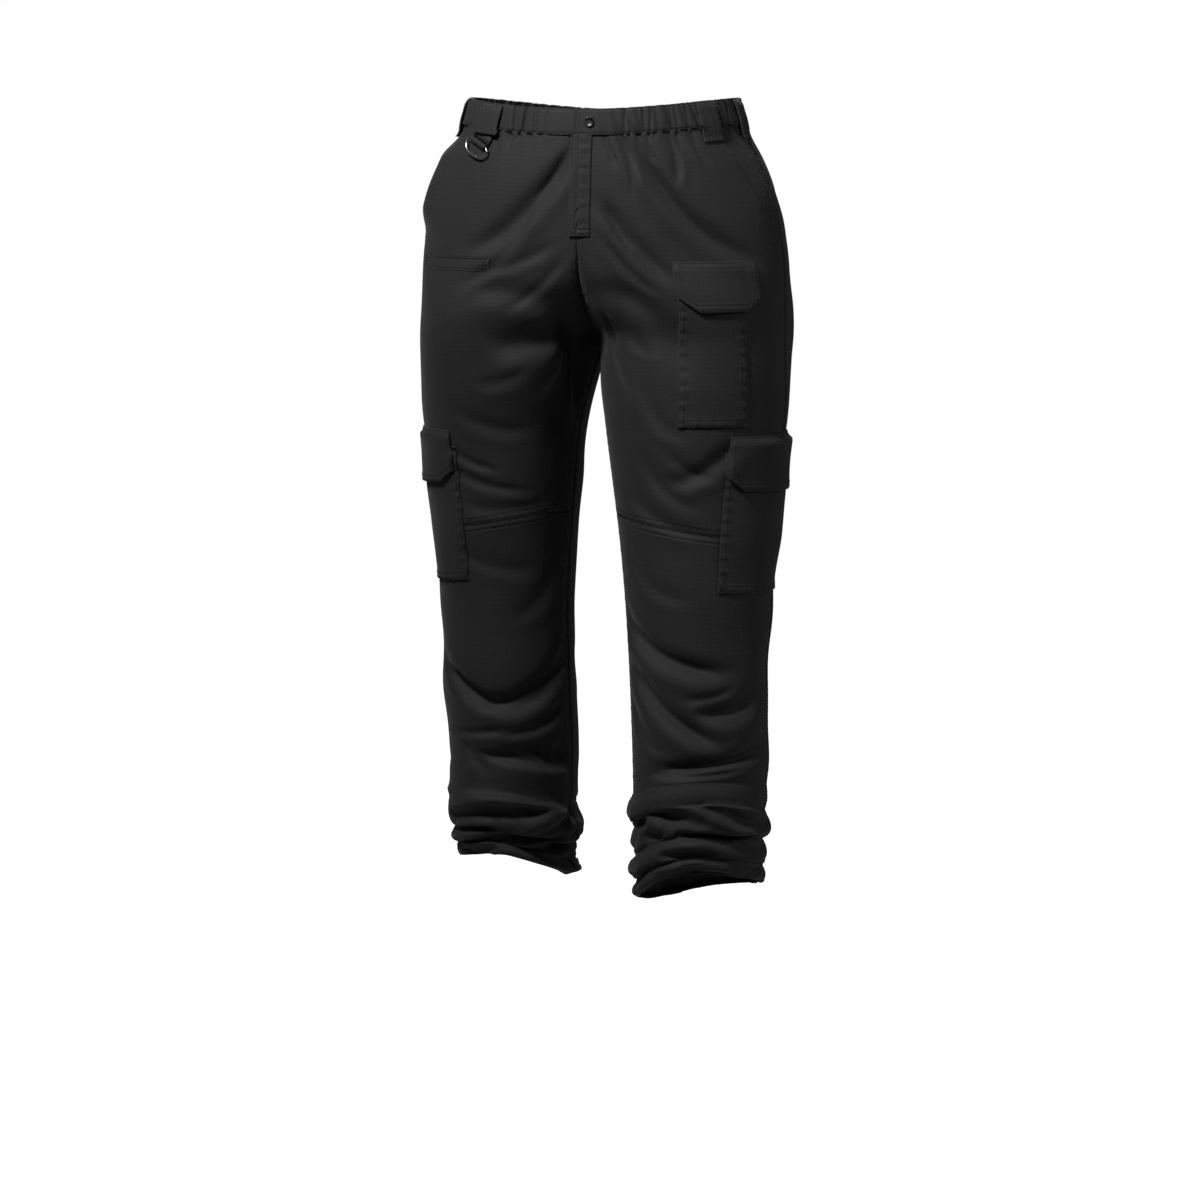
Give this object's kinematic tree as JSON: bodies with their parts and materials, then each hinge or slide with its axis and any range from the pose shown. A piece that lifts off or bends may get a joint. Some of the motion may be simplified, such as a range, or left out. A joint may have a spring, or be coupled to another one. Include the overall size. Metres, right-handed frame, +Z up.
{
  "type": "cargo trousers",
  "caption": "Cargo trousers in dark ripstop, worn and empty: gathered waist, slash, thigh and cargo pockets, knee seams, stacked ankles and a D-ring that swings in its tab.",
  "frame": {"origin": "middle of the waist opening at the height of the waist's edge, where the wearer's waist holds the garment", "axes": "+Z up along the garment, +X to the wearer's left, -Y to the front"},
  "size_m": [0.4096, 0.2726, 0.872],
  "materials": {
    "black_cloth": "black ripstop cotton with a faint fine grid, matt with a slight sheen on the folds",
    "ring_steel": "bright nickel-plated steel wire",
    "dark_steel": "dark gunmetal plating, worn bright on the rim"
  },
  "bodies": {
    "trousers": {"front_right": "black_cloth", "front_left": "black_cloth", "front_lower_right": "black_cloth", "front_lower_left": "black_cloth", "back_right": "black_cloth", "back_left": "black_cloth", "hip_facing_right": "black_cloth", "hip_facing_left": "black_cloth", "waistband_right": "black_cloth", "waistband_left": "black_cloth", "waistband_back": "black_cloth", "fly_placket": "black_cloth", "thigh_welt": "black_cloth", "phone_pocket": "black_cloth", "phone_flap": "black_cloth", "cargo_pocket_right": "black_cloth", "cargo_pocket_left": "black_cloth", "cargo_flap_right": "black_cloth", "cargo_flap_left": "black_cloth", "belt_loop_front_right": "black_cloth", "belt_loop_front_left": "black_cloth", "belt_loop_side_right": "black_cloth", "belt_loop_side_left": "black_cloth", "belt_loop_back": "black_cloth", "ring_tab": "black_cloth", "waist_button": "dark_steel"},
    "ring": {"d_ring": "ring_steel"}
  },
  "joints": [
    {"name": "ring_swing", "type": "hinge", "parent": "trousers", "child": "ring", "pos_m": [-0.11763, -0.08995, -0.04029], "axis": [-0.714, 0.5891, 0.3784], "range_deg": [0, 150]}
  ]
}
